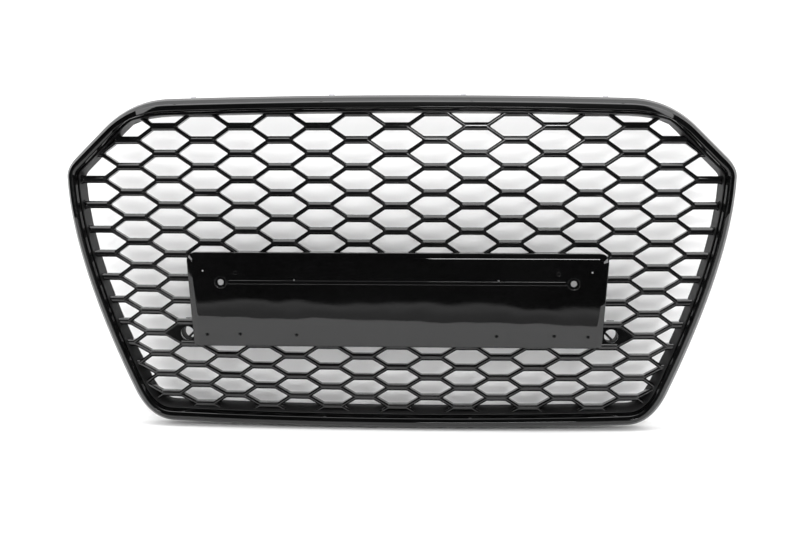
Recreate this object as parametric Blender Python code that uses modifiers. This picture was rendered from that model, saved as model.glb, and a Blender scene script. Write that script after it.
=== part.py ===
"""Front grille of a car: honeycomb mesh in a gloss bezel, with a number-plate panel and two sensor holders.

Metres, +Z up. The grille stands as it does on the car: X runs across the car, the front faces -Y, and
X = 0 is its plane of symmetry. Every outline is drawn in the X-Z plane, and depth is measured from one
gently bowed master surface, so that the bezel, the mesh and the carrier behind them stay parallel.
"""
import math

import bmesh
import bpy
from mathutils import Matrix, Vector

# ---------------------------------------------------------------- overall size and outline
OVERALL_WIDTH = 0.892
OVERALL_HEIGHT = 0.446
TOP_CORNER_SETBACK = 0.090       # from the widest point in to the top corner
TOP_EDGE_RISE = 0.0050           # arch of the top edge over its corners
SHOULDER_DROP = 0.0940           # from the top down to the widest point
SHOULDER_OVERSHOOT = 0.0007      # the shoulder's corner before it is rounded
FOOT_SETBACK = 0.103             # from the widest point in to the bottom corner
BOTTOM_EDGE_SAG = 0.0047         # bow of the bottom edge under its corners
LOWER_SIDE_BULGE = 0.0168        # how far the long lower sides bow out
LOWER_SIDE_PEAK = 0.315          # where along them the bow is drawn out furthest
TOP_CORNER_ROUND = 0.052         # tangent lengths of the rounded corners
SHOULDER_ROUND = 0.0197
FOOT_ROUND = 0.035

# ---------------------------------------------------------------- master surface
PLAN_RADIUS = 3.95               # bow seen from above
PROFILE_RADIUS = 1.5             # bow seen from the side
NOSE_HEIGHT = 0.075              # the foremost height

# ---------------------------------------------------------------- bezel
CREST_TOP, CREST_SIDE, CREST_BOTTOM = 0.0160, 0.0115, 0.0095      # outer edge to crest line
BEZEL_TOP, BEZEL_SIDE, BEZEL_BOTTOM = 0.0206, 0.0166, 0.0186      # outer edge to end of inner bevel
TOP_CORNER_NARROWING = 0.0046    # the ring is narrower round its top corners
BEZEL_WALL = 0.0026
CREST_DEPTH = -0.006
BEZEL_RETURN = 0.018             # how far back the outer wall reaches

# ---------------------------------------------------------------- mesh
COLUMN_PITCH = 0.0518            # centre row spacing at row 0
COLUMN_NARROWING = 0.00044       # columns close up downwards, per row
COLUMN_NARROWING_RATE = 0.0000217
ROW_PITCH = 0.03544              # at row 0
ROW_SHRINK = 0.00037             # rows close up downwards
FIRST_ROW_DROP = 0.0586          # from the top edge to the middle of row 0
LEVEL_BAR = 0.0104               # height of a level bar at row 0
LEVEL_BAR_SLIMMING = 0.00018     # per row
SLANTED_BAR = 0.0054
MESH_FRONT = 0.008
RIDGE_DEPTH = 0.0035
MESH_REAR = 0.021
RIM_FRONT, RIM_REAR = 0.0045, 0.022
RIM_LEDGE = 0.0014               # front edge of the perimeter wall
RIM_TOP, RIM_SIDE = 0.0241, 0.0223                                # outer edge to the wall's back
RIM_LOW_LEAN = 0.0070            # how much further in the wall's back leans at the foot
RIM_CLEARANCE = 0.0006           # between the bezel and the perimeter wall
FOOT_PLATE = 0.0024
FOOT_EDGE = 0.0045               # outline to the edge of the foot and of the carrier

# ---------------------------------------------------------------- carrier behind the mesh
CARRIER_PLATE = 0.0026
CARRIER_FLANGE, CARRIER_FLANGE_WALL = 0.0078, 0.0022
SEAT_LENGTH, SEAT_DEPTH, SEAT_WIDTH = 0.030, 0.0042, 0.0072
SEAT_X = 0.180

# ---------------------------------------------------------------- screws
GAP = 0.0003                     # between pieces that touch
RING_GAP = 0.0006                # between the bowed backs of two rings
FRAME_SCREWS = 12
SCREW_INSET = 0.0122             # outline to the row of frame screws
SCREW_RADIUS, SCREW_HEAD_RADIUS, SCREW_HEAD = 0.0017, 0.0036, 0.0024
SCREW_LENGTH = 0.013             # engaged in a bezel boss
SCREW_CLEARANCE = 0.0005
BOSS_RADIUS = 0.0042
PAD_RADIUS, PAD_HEIGHT = 0.0052, 0.0014

# ---------------------------------------------------------------- plate panel
PANEL_WIDTH = 0.5562             # along its top
PANEL_TAPER = 0.0168             # how much narrower it is along its foot
PANEL_HEIGHT = 0.1256
PANEL_TOP = 0.0172
PANEL_WALL = 0.0028
PANEL_CHAMFER, PANEL_CHAMFER_DEPTH, PANEL_BOTTOM_EDGE = 0.0078, 0.0050, 0.0012
PANEL_CORNER, PANEL_FOOT_CORNER = 0.014, 0.0030                    # tangent lengths
PANEL_FRONT = -0.0045
PANEL_RAKE = math.radians(4.0)
PANEL_SCREW_SIDE, PANEL_SCREW_INSET = 0.0981, 0.0125               # side and level edge to its screws
PANEL_SCREW_LENGTH = 0.012
PANEL_LAP = 0.0008               # the panel's edge reaches this far over the front of the bars
WINDOW_EDGE, WINDOW_WALL, WINDOW_CORNER = 0.0010, 0.0028, 0.0045  # frame of the mesh's window
EAR_WIDTH, EAR_THICKNESS, EAR_RECESS = 0.016, 0.0030, 0.0005      # mesh ears for the panel's screws
PLATE_HOLE_SIDE, PLATE_HOLE_DROP, PLATE_HOLE_RADIUS = 0.0463, 0.0396, 0.0041
BEAD_HEIGHT, BEAD_PROUD, BEAD_END = 0.0050, 0.0008, 0.0075
PILOT_RADIUS, PILOT_HOLES = 0.0012, ((0.0225, 0.0245), (0.1438, 0.0360))         # in from the side, down
DIMPLE_RADIUS, DIMPLE_DEPTH = 0.0017, 0.0010
DIMPLES = ((0.0661, 0.0268), (0.0268, 0.1096), (0.0709, 0.1088), (0.1460, 0.1096))

# ---------------------------------------------------------------- parking sensors
SENSOR_DROP = 0.1126             # from the panel's top to the row of the sensors, about
SENSOR_FROM_PANEL = 0.0030       # least clearance between the hole and the panel's edge
SENSOR_OUTBOARD = 0.0033         # hole to the middle of its cell
SENSOR_HOLE_RADIUS = 0.0092
SENSOR_PAD_FRONT, SENSOR_PAD_THICKNESS = 0.0120, 0.0034
SENSOR_SCREW_RADIUS, SENSOR_SCREW_HEAD_RADIUS, SENSOR_SCREW_HEAD = 0.0013, 0.0026, 0.0016
SENSOR_SCREW_LENGTH = 0.009
BRACKET_BORE, BRACKET_WALL, BRACKET_LENGTH = 0.0096, 0.0018, 0.018
BRACKET_PLATE, BRACKET_EAR = 0.0022, 0.0100
BRACKET_ARM, BRACKET_ARM_SHIFT = 0.0030, 0.0034

# ---------------------------------------------------------------- top clips
CLIP_X = (-0.274, -0.087, 0.087, 0.274)
CLIP_WIDTH, CLIP_SHEET, CLIP_RISE = 0.0070, 0.0009, 0.0014

ROUND = 12                       # facets of a small round piece


# ================================================================ scene and object helpers
def clear_scene():
    for item in list(bpy.data.objects):
        bpy.data.objects.remove(item)


def new_collection(name):
    collection = bpy.data.collections.new(name)
    bpy.context.scene.collection.children.link(collection)
    return collection


clear_scene()
PARTS = new_collection("front_grille")
CUTTERS = new_collection("cutters")


def plastic(name, grey, roughness, metallic=0.0):
    material = bpy.data.materials.new(name)
    material.use_nodes = True
    shader = material.node_tree.nodes["Principled BSDF"]
    shader.inputs["Base Color"].default_value = (grey, grey, grey, 1.0)
    shader.inputs["Roughness"].default_value = roughness
    shader.inputs["Metallic"].default_value = metallic
    return material


def add_object(name, bm, collection, material=None):
    bmesh.ops.recalc_face_normals(bm, faces=bm.faces)
    mesh = bpy.data.meshes.new(name)
    bm.to_mesh(mesh)
    bm.free()
    mesh.shade_smooth()
    mesh.set_sharp_from_angle(angle=math.radians(30))
    obj = bpy.data.objects.new(name, mesh)
    collection.objects.link(obj)
    if material:
        mesh.materials.append(material)
    if collection is CUTTERS:
        obj.hide_render = True
        obj.display_type = "WIRE"
    return obj


def boolean(obj, cutter, operation):
    modifier = obj.modifiers.new(cutter.name, "BOOLEAN")
    modifier.operation = operation
    modifier.solver = "EXACT"
    modifier.object = cutter


# ================================================================ master surface and outlines
def surface(x, z):
    """Depth of the master surface at a place in the front view."""
    return x * x / (2 * PLAN_RADIUS) + (z - NOSE_HEIGHT) ** 2 / (2 * PROFILE_RADIUS)


def lean(x, z, radius):
    """How far the sloping master surface runs in depth under a flat round end."""
    return radius * math.hypot(x / PLAN_RADIUS, (z - NOSE_HEIGHT) / PROFILE_RADIUS)


def round_corner(before, corner, after, steps):
    """Points of a rounded corner, without its first and last point."""
    points = []
    for step in range(1, steps):
        t = step / steps
        points.append(before * (1 - t) ** 2 + corner * 2 * t * (1 - t) + after * t * t)
    return points


def close_half(half):
    """A closed loop from the points of its right half, which run from top centre to bottom centre."""
    left = [Vector((-p.x, p.y)) for p in reversed(half[1:-1])]
    return half + left


def with_normals(loop):
    """Pairs of point and outward normal for a closed loop that runs clockwise in the front view."""
    pairs = []
    for index, point in enumerate(loop):
        before, after = loop[index - 1], loop[(index + 1) % len(loop)]
        a, b = (point - before).normalized(), (after - point).normalized()
        tangent = (a + b).normalized()
        pairs.append((point, Vector((-tangent.y, tangent.x))))
    return pairs


def grille_outline():
    """The outer edge: an arched top, slanted shoulders, long bowed sides and a slightly bowed bottom."""
    half_width, half_height = OVERALL_WIDTH / 2, OVERALL_HEIGHT / 2
    top = Vector((0, half_height))
    top_corner = Vector((half_width - TOP_CORNER_SETBACK, half_height - TOP_EDGE_RISE))
    shoulder = Vector((half_width + SHOULDER_OVERSHOOT, half_height - SHOULDER_DROP))
    foot = Vector((half_width - FOOT_SETBACK, BOTTOM_EDGE_SAG - half_height))
    bottom = Vector((0, -half_height))

    def on_top(x):
        return Vector((x, half_height - TOP_EDGE_RISE * (x / top_corner.x) ** 2))

    def on_bottom(x):
        return Vector((x, BOTTOM_EDGE_SAG * (x / foot.x) ** 2 - half_height))

    slant = (shoulder - top_corner).normalized()
    side_length = (foot - shoulder).length
    first = on_top(top_corner.x - TOP_CORNER_ROUND)
    half = [on_top(first.x * step / 5) for step in range(6)]
    slant_start = top_corner + slant * TOP_CORNER_ROUND
    half += round_corner(first, top_corner, slant_start, 6) + [slant_start]
    slant_end = shoulder - slant * SHOULDER_ROUND
    half += [(slant_start + slant_end) / 2, slant_end]

    def on_side(t):
        along = foot - shoulder
        out = Vector((-along.y, along.x)).normalized()
        drawn = shoulder + along * LOWER_SIDE_PEAK + out * LOWER_SIDE_BULGE * 2
        return shoulder * (1 - t) ** 2 + drawn * 2 * t * (1 - t) + foot * t * t

    side_start, side_end = SHOULDER_ROUND / side_length, 1 - FOOT_ROUND / side_length
    half += round_corner(slant_end, shoulder, on_side(side_start), 5)
    half += [on_side(side_start + (side_end - side_start) * step / 7) for step in range(8)]
    last = on_bottom(foot.x - FOOT_ROUND)
    half += round_corner(on_side(side_end), foot, last, 6)
    half += [on_bottom(last.x * (1 - step / 5)) for step in range(5)] + [bottom]
    return with_normals(close_half(half))


def panel_outline(foot_corner):
    """The plate panel's edge: narrower at the foot, with rounded top corners."""
    top_half, bottom_half = PANEL_WIDTH / 2, (PANEL_WIDTH - PANEL_TAPER) / 2
    low = PANEL_TOP - PANEL_HEIGHT
    corner, foot = Vector((top_half, PANEL_TOP)), Vector((bottom_half, low))
    down = (foot - corner).normalized()
    start, end = Vector((top_half - PANEL_CORNER, PANEL_TOP)), corner + down * PANEL_CORNER
    half = [Vector((start.x * step / 5, PANEL_TOP)) for step in range(6)]
    half += round_corner(start, corner, end, 5) + [end]
    side_end = foot - down * foot_corner
    half += [(end + side_end) / 2, side_end]
    bottom_start = Vector((bottom_half - foot_corner, low))
    half += round_corner(side_end, foot, bottom_start, 2)
    half += [Vector((bottom_start.x * (1 - step / 5), low)) for step in range(6)]
    return with_normals(close_half(half))


def blend_by_facing(normal, top, side, bottom):
    """A size that differs between the top, the sides and the bottom of a ring."""
    upward = max(normal.y, 0) ** 4
    downward = max(-normal.y, 0) ** 4
    return side + (top - side) * upward + (bottom - side) * downward


def corner_narrowing(normal):
    """How much narrower the ring is where it turns its top corners."""
    return TOP_CORNER_NARROWING * max(0, 1 - abs(normal.y - 0.88) / 0.14)


def bezel_width(normal):
    return blend_by_facing(normal, BEZEL_TOP, BEZEL_SIDE, BEZEL_BOTTOM) - corner_narrowing(normal)


def crest_inset(normal):
    return blend_by_facing(normal, CREST_TOP, CREST_SIDE, CREST_BOTTOM)


def rim_outer(normal):
    return bezel_width(normal) + RIM_CLEARANCE


def rim_back(point, normal):
    """Inset of the perimeter wall's back edge, which leans in further towards the grille's foot."""
    low = max(-point.y, 0) / (OVERALL_HEIGHT / 2)
    width = blend_by_facing(normal, RIM_TOP, RIM_SIDE, RIM_SIDE) + RIM_LOW_LEAN * low ** 2
    return width - corner_narrowing(normal)


# ================================================================ mesh-building helpers
def place(point, normal, inset, depth):
    """A 3-D point inset from an outline and set back from the master surface."""
    x, z = point - normal * inset
    return Vector((x, surface(x, z) + depth, z))


def sweep(path, section, closed):
    """Carry a section round a closed path. section(point, normal) gives its (inset, depth) points."""
    bm = bmesh.new()
    rings = []
    for point, normal in path:
        rings.append([bm.verts.new(place(point, normal, inset, depth))
                      for inset, depth in section(point, normal)])
    count = len(rings[0])
    sides = count if closed else count - 1
    for index, ring in enumerate(rings):
        following = rings[(index + 1) % len(rings)]
        for side in range(sides):
            other = (side + 1) % count
            bm.faces.new((ring[side], following[side], following[other], ring[other]))
    return bm


def prism(points, front, rear):
    """A solid of one outline that runs straight back between two depths in Y."""
    bm = bmesh.new()
    face = bm.faces.new([bm.verts.new((p.x, front, p.y)) for p in points])
    moved = bmesh.ops.extrude_face_region(bm, geom=[face])["geom"]
    verts = [item for item in moved if isinstance(item, bmesh.types.BMVert)]
    bmesh.ops.translate(bm, verts=verts, vec=(0, rear - front, 0))
    return bm


def append(bm, other):
    """Add another mesh to a mesh and free it."""
    carried = bpy.data.meshes.new("carried")
    other.to_mesh(carried)
    other.free()
    bm.from_mesh(carried)
    bpy.data.meshes.remove(carried)


def add_cylinder(bm, x, z, front, rear, radius, facets=ROUND):
    """A cylinder along Y, added to a mesh."""
    turn = Matrix.Rotation(math.radians(90), 4, "X")
    matrix = Matrix.Translation((x, (front + rear) / 2, z)) @ turn
    bmesh.ops.create_cone(bm, cap_ends=True, segments=facets, radius1=radius, radius2=radius,
                          depth=rear - front, matrix=matrix)


def add_block(bm, low, high):
    """A box between two corners, added to a mesh."""
    middle = (Vector(low) + Vector(high)) / 2
    size = Vector(high) - Vector(low)
    matrix = Matrix.Translation(middle) @ Matrix.Diagonal((*size, 1))
    bmesh.ops.create_cube(bm, size=1, matrix=matrix)


def screw(name, x, z, seat, length, radius, head_radius, head, material):
    """A pan-head screw driven forwards from a seat that faces the rear."""
    bm = bmesh.new()
    add_cylinder(bm, x, z, seat, seat + head, head_radius)
    caps = [f for f in bm.faces if f.normal.y < -0.9]
    bmesh.ops.inset_region(bm, faces=caps, thickness=head_radius - radius)
    moved = bmesh.ops.extrude_face_region(bm, geom=caps)["geom"]
    verts = [item for item in moved if isinstance(item, bmesh.types.BMVert)]
    bmesh.ops.delete(bm, geom=caps, context="FACES")
    bmesh.ops.translate(bm, verts=verts, vec=(0, -length, 0))
    return add_object(name, bm, PARTS, material)


# ================================================================ lattice of the mesh
def row_height(row):
    return OVERALL_HEIGHT / 2 - FIRST_ROW_DROP - ROW_PITCH * row + ROW_SHRINK * row * row


def column_pitch(row):
    return COLUMN_PITCH - COLUMN_NARROWING * row - COLUMN_NARROWING_RATE * row * row


def lattice_point(quarters, half_rows):
    """A bar junction, counted in quarter columns from the middle and half rows from row 0."""
    row = half_rows / 2
    return Vector((quarters / 4 * column_pitch(row), row_height(row)))


def cell_corners(column, half_row):
    """Keys of the six junctions round a cell, clockwise from its left corner."""
    middle = 4 * column
    return [(middle - 3, half_row), (middle - 1, half_row - 1), (middle + 1, half_row - 1),
            (middle + 3, half_row), (middle + 1, half_row + 1), (middle - 1, half_row + 1)]


def shift_inward(corners, distances):
    """The polygon whose edges lie inside a clockwise polygon's edges by the given distances."""
    lines = []
    for index, start in enumerate(corners):
        along = (corners[(index + 1) % len(corners)] - start).normalized()
        inward = Vector((along.y, -along.x))
        lines.append((start + inward * distances[index], along))
    points = []
    for index, (start, along) in enumerate(lines):
        before, before_along = lines[index - 1]
        cross = before_along.x * along.y - before_along.y * along.x
        gap = start - before
        reach = (gap.x * along.y - gap.y * along.x) / cross
        points.append(before + before_along * reach)
    return points


def cell_opening(column, half_row):
    """The opening between the bars of a cell: level bars are taller than slanted ones."""
    corners = [lattice_point(*key) for key in cell_corners(column, half_row)]
    level = (LEVEL_BAR - LEVEL_BAR_SLIMMING * half_row / 2) / 2
    slanted = SLANTED_BAR / 2
    return shift_inward(corners, [slanted, level, slanted, slanted, level, slanted])


def inside(point, loop):
    """Whether a point lies inside a closed loop of points."""
    result = False
    for index, a in enumerate(loop):
        b = loop[index - 1]
        if (a.y > point.y) != (b.y > point.y):
            if point.x < (b.x - a.x) * (point.y - a.y) / (b.y - a.y) + a.x:
                result = not result
    return result


def lattice_cells(edge, window):
    """Cells with a corner inside the edge and a corner outside the panel's window."""
    widest = math.ceil(OVERALL_WIDTH / 2 / column_pitch(0)) + 2
    cells = []
    half_row = -6
    while row_height(half_row / 2) > -OVERALL_HEIGHT / 2 - ROW_PITCH:
        for column in range(-widest, widest + 1):
            if (column + half_row) % 2 == 0:
                corners = [lattice_point(*key) for key in cell_corners(column, half_row)]
                reaches_in = any(inside(corner, edge) for corner in corners)
                reaches_out = any(not inside(corner, window) for corner in corners)
                if reaches_in and reaches_out:
                    cells.append((column, half_row))
        half_row += 1
    return cells


def lattice_mesh(cells):
    """The net of ridged bars: a crest along every bar, flanks down to each opening, and flat backs."""
    bm = bmesh.new()
    crest, back = {}, {}

    def junction(store, key, depth):
        if key not in store:
            x, z = lattice_point(*key)
            store[key] = bm.verts.new((x, surface(x, z) + depth, z))
        return store[key]

    def opening_loop(points, depth):
        return [bm.verts.new((x, surface(x, z) + depth, z)) for x, z in points]

    shared = {}
    for cell in cells:
        keys = cell_corners(*cell)
        for index, key in enumerate(keys):
            side = frozenset((key, keys[(index + 1) % 6]))
            shared[side] = shared.get(side, 0) + 1
    for cell in cells:
        keys = cell_corners(*cell)
        points = cell_opening(*cell)
        front = opening_loop(points, MESH_FRONT + RIDGE_DEPTH)
        rear = opening_loop(points, MESH_REAR)
        for index, key in enumerate(keys):
            following = (index + 1) % 6
            top_a, top_b = junction(crest, key, MESH_FRONT), junction(crest, keys[following], MESH_FRONT)
            low_a, low_b = junction(back, key, MESH_REAR), junction(back, keys[following], MESH_REAR)
            bm.faces.new((top_a, top_b, front[following], front[index]))
            bm.faces.new((front[index], front[following], rear[following], rear[index]))
            bm.faces.new((rear[index], rear[following], low_b, low_a))
            if shared[frozenset((key, keys[following]))] == 1:
                bm.faces.new((top_b, top_a, low_a, low_b))
    return bm


# ================================================================ pieces
def frame_screw_places(path):
    """Places spaced evenly round the outline, symmetric about the middle, inset to the row of screws."""
    loop = [point for point, normal in path]
    lengths = [(loop[(i + 1) % len(loop)] - loop[i]).length for i in range(len(loop))]
    total = sum(lengths)
    places = []
    for number in range(FRAME_SCREWS):
        wanted = total * (number + 0.5) / FRAME_SCREWS
        index = 0
        while wanted > lengths[index]:
            wanted -= lengths[index]
            index += 1
        share = wanted / lengths[index]
        following = (index + 1) % len(path)
        point = loop[index].lerp(loop[following], share)
        normal = path[index][1].lerp(path[following][1], share).normalized()
        places.append(point - normal * SCREW_INSET)
    return places


def make_bezel(path, places, material):
    def section(point, normal):
        crest, width = crest_inset(normal), bezel_width(normal)
        return [(0.0008, BEZEL_RETURN), (0, 0.010), (0.2 * crest, 0.0025), (0.55 * crest, -0.0030),
                (crest, CREST_DEPTH), (crest + 0.6 * (width - crest), -0.0025), (width, 0.0045),
                (width + 0.0002, 0.0095)]

    bezel = add_object("surround_trim", sweep(path, section, closed=False), PARTS, material)
    shell = bezel.modifiers.new("wall", "SOLIDIFY")
    shell.thickness = BEZEL_WALL
    shell.offset = -1
    shell.use_even_offset = True
    bosses, bores = bmesh.new(), bmesh.new()
    for x, z in places:
        depth = surface(x, z)
        end = depth + RIM_REAR - FOOT_PLATE - GAP - lean(x, z, BOSS_RADIUS)
        add_cylinder(bosses, x, z, depth - 0.0028, end, BOSS_RADIUS)
        add_cylinder(bores, x, z, end - SCREW_LENGTH, end + GAP, SCREW_RADIUS + GAP, 8)
    boolean(bezel, add_object("bezel_bosses", bosses, CUTTERS), "UNION")
    boolean(bezel, add_object("bezel_bores", bores, CUTTERS), "DIFFERENCE")
    return bezel


def make_mesh(path, window_path, places, material):
    net_edge = [point - normal * (rim_outer(normal) + RIM_LEDGE) for point, normal in path]
    window = [point - normal * (WINDOW_EDGE + WINDOW_WALL / 2) for point, normal in window_path]
    mesh = add_object("honeycomb_mesh", lattice_mesh(lattice_cells(net_edge, window)), PARTS, material)

    def rim(point, normal):
        outer = rim_outer(normal)
        return [(outer, RIM_FRONT), (outer + RIM_LEDGE, RIM_FRONT), (rim_back(point, normal), RIM_REAR),
                (FOOT_EDGE, RIM_REAR), (FOOT_EDGE, RIM_REAR - FOOT_PLATE),
                (outer + RIM_CLEARANCE, RIM_REAR - FOOT_PLATE)]

    def window_frame(point, normal):
        inner = WINDOW_EDGE + WINDOW_WALL
        return [(WINDOW_EDGE, MESH_FRONT + GAP), (inner, MESH_FRONT + GAP), (inner, MESH_REAR),
                (WINDOW_EDGE, MESH_REAR)]

    boolean(mesh, add_object("net_edge", prism(net_edge, -0.1, 0.2), CUTTERS), "INTERSECT")
    boolean(mesh, add_object("sensor_pads", sensor_pads(), CUTTERS), "UNION")
    boolean(mesh, add_object("panel_window", prism(window, -0.1, 0.2), CUTTERS), "DIFFERENCE")
    boolean(mesh, add_object("window_frame", sweep(window_path, window_frame, closed=True), CUTTERS), "UNION")
    boolean(mesh, add_object("rim", sweep(path, rim, closed=True), CUTTERS), "UNION")
    boolean(mesh, add_object("panel_ears", panel_ears(), CUTTERS), "UNION")
    boolean(mesh, add_object("mesh_holes", mesh_holes(places), CUTTERS), "DIFFERENCE")
    return mesh


def sensor_cell():
    """Column and row of the first cell clear of the plate panel's side, at the height of the sensors."""
    wanted = PANEL_TOP - SENSOR_DROP
    row = min(range(40), key=lambda number: abs(row_height(number) - wanted))
    reach = PANEL_WIDTH / 2 - PANEL_TAPER / 2 * SENSOR_DROP / PANEL_HEIGHT
    reach += SENSOR_FROM_PANEL + SENSOR_HOLE_RADIUS - SENSOR_OUTBOARD
    column = 2 * math.ceil(reach / column_pitch(row) / 2)
    return column, row


def sensor_place(side):
    """Middle of a sensor's hole."""
    column, row = sensor_cell()
    point = lattice_point(4 * column, 2 * row)
    return Vector((side * (point.x + SENSOR_OUTBOARD), point.y))


def sensor_depth():
    x, z = sensor_place(1)
    return surface(x, z)


def sensor_pads():
    """Plates that fill the two cells of the sensors."""
    bm = bmesh.new()
    depth = sensor_depth()
    column, row = sensor_cell()
    for side in (-1, 1):
        corners = [lattice_point(*key) for key in cell_corners(side * column, 2 * row)]
        corners = shift_inward(corners, [0.0012] * 6)
        append(bm, prism(corners, depth + SENSOR_PAD_FRONT, depth + SENSOR_PAD_FRONT + SENSOR_PAD_THICKNESS))
    return bm


def panel_screw_places():
    places = []
    reach = PANEL_WIDTH / 2 - PANEL_SCREW_SIDE
    for height in (PANEL_TOP - PANEL_SCREW_INSET, PANEL_TOP - PANEL_HEIGHT + PANEL_SCREW_INSET):
        for x in (-reach, 0, reach):
            places.append(Vector((x, height)))
    return places


def panel_ears():
    """Ears inside the window that take the plate panel's screws."""
    bm = bmesh.new()
    middle = PANEL_TOP - PANEL_HEIGHT / 2
    for x, z in panel_screw_places():
        rear = surface(x, z) + MESH_REAR - EAR_RECESS
        edge = z + math.copysign(PANEL_SCREW_INSET - WINDOW_EDGE - WINDOW_WALL / 2, z - middle)
        inner = z - math.copysign(BOSS_RADIUS + 0.0015, z - middle)
        low = (x - EAR_WIDTH / 2, rear - EAR_THICKNESS, min(edge, inner))
        add_block(bm, low, (x + EAR_WIDTH / 2, rear, max(edge, inner)))
    return bm


def mesh_holes(places):
    bm = bmesh.new()
    for x, z in places:
        depth = surface(x, z) + RIM_REAR
        add_cylinder(bm, x, z, depth - FOOT_PLATE - 0.002, depth + 0.002, SCREW_RADIUS + SCREW_CLEARANCE, 8)
    for x, z in panel_screw_places():
        depth = surface(x, z) + MESH_REAR
        add_cylinder(bm, x, z, depth - 0.006, depth + 0.004, SCREW_RADIUS + SCREW_CLEARANCE, 8)
    depth = sensor_depth()
    for side in (-1, 1):
        x, z = sensor_place(side)
        add_cylinder(bm, x, z, depth, depth + SENSOR_PAD_FRONT + SENSOR_PAD_THICKNESS + 0.002,
                     SENSOR_HOLE_RADIUS, 24)
        for x, z in bracket_screw_places(side):
            rear = surface(x, z) + MESH_REAR
            add_cylinder(bm, x, z, rear - 0.009, rear + 0.004, SENSOR_SCREW_RADIUS + GAP, 8)
    return bm


def make_carrier(path, places, material):
    front = RIM_REAR + RING_GAP
    rear = front + CARRIER_PLATE

    def section(point, normal):
        inner = rim_back(point, normal)
        return [(FOOT_EDGE, front), (inner, front), (inner, rear), (FOOT_EDGE + CARRIER_FLANGE_WALL, rear),
                (FOOT_EDGE + CARRIER_FLANGE_WALL, rear + CARRIER_FLANGE), (FOOT_EDGE, rear + CARRIER_FLANGE)]

    carrier = add_object("carrier_frame", sweep(path, section, closed=True), PARTS, material)
    pads, holes = bmesh.new(), bmesh.new()
    for x, z in places:
        depth = surface(x, z)
        base = depth + front + lean(x, z, PAD_RADIUS) + GAP
        add_cylinder(pads, x, z, base, depth + rear + PAD_HEIGHT, PAD_RADIUS)
        add_cylinder(holes, x, z, depth + front - 0.002, depth + rear + 0.006,
                     SCREW_RADIUS + SCREW_CLEARANCE, 8)
    for low, high in seat_blocks(path):
        add_block(pads, low, high)
    boolean(carrier, add_object("carrier_pads", pads, CUTTERS), "UNION")
    boolean(carrier, add_object("carrier_holes", holes, CUTTERS), "DIFFERENCE")
    return carrier


def edge_height(path, x, upper):
    """Height of the outline's top or bottom edge at a place across."""
    loop = [point for point, normal in path]
    for index, a in enumerate(loop):
        b = loop[(index + 1) % len(loop)]
        between = min(a.x, b.x) <= x <= max(a.x, b.x) and a.x != b.x
        if between and (a.y > 0) == upper:
            return a.y + (b.y - a.y) * (x - a.x) / (b.x - a.x)
    raise ValueError("no edge at this place")


def seat_blocks(path):
    """Flat seats on the carrier's back that rest on the bumper's support."""
    blocks = []
    rear = RIM_REAR + RING_GAP + CARRIER_PLATE
    for x in (-SEAT_X, SEAT_X):
        for upper in (True, False):
            inward = -1 if upper else 1
            near = edge_height(path, x, upper) + inward * (FOOT_EDGE + CARRIER_FLANGE_WALL - 0.0004)
            far = near + inward * SEAT_WIDTH
            depth = surface(x, (near + far) / 2)
            low = (x - SEAT_LENGTH / 2, depth + rear - 0.0016, min(near, far))
            high = (x + SEAT_LENGTH / 2, depth + rear + SEAT_DEPTH, max(near, far))
            blocks.append((low, high))
    return blocks


def make_frame_screws(places, material):
    for number, (x, z) in enumerate(places, 1):
        seat = surface(x, z) + RIM_REAR + RING_GAP + CARRIER_PLATE + PAD_HEIGHT + GAP
        length = SCREW_LENGTH - 0.001 + PAD_HEIGHT + CARRIER_PLATE + FOOT_PLATE + 3 * GAP
        screw(f"frame_screw_{number:02d}", x, z, seat, length, SCREW_RADIUS, SCREW_HEAD_RADIUS,
              SCREW_HEAD, material)


# ---------------------------------------------------------------- plate panel
def panel_front(z):
    """Depth of the plate panel's front face, which leans back towards its foot."""
    return PANEL_FRONT + (PANEL_TOP - z) * math.tan(PANEL_RAKE)


def make_panel(panel_path, material):
    bm = bmesh.new()
    rings = []
    for point, normal in panel_path:
        chamfer = blend_by_facing(normal, PANEL_CHAMFER, PANEL_CHAMFER, PANEL_BOTTOM_EDGE)
        depth = blend_by_facing(normal, PANEL_CHAMFER_DEPTH, PANEL_CHAMFER_DEPTH, PANEL_BOTTOM_EDGE)
        x, z = point
        inner_x, inner_z = point - normal * chamfer
        rear = surface(x, z) + MESH_FRONT - PANEL_LAP
        rings.append([bm.verts.new((x, rear, z)), bm.verts.new((x, panel_front(z) + depth, z)),
                      bm.verts.new((inner_x, panel_front(inner_z), inner_z))])
    for index, ring in enumerate(rings):
        following = rings[(index + 1) % len(rings)]
        for side in range(2):
            bm.faces.new((ring[side], following[side], following[side + 1], ring[side + 1]))
    bm.faces.new([ring[2] for ring in rings])
    panel = add_object("plate_panel", bm, PARTS, material)
    shell = panel.modifiers.new("wall", "SOLIDIFY")
    shell.thickness = PANEL_WALL
    shell.offset = -1
    shell.use_even_offset = True
    boolean(panel, add_object("panel_bosses", panel_bosses(), CUTTERS), "UNION")
    boolean(panel, add_object("panel_bores", panel_bores(), CUTTERS), "DIFFERENCE")
    return panel


def panel_boss_end(x, z):
    """Depth of a boss's end, which stands on a mesh ear."""
    return surface(x, z) + MESH_REAR - EAR_RECESS - EAR_THICKNESS - 2 * GAP


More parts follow.
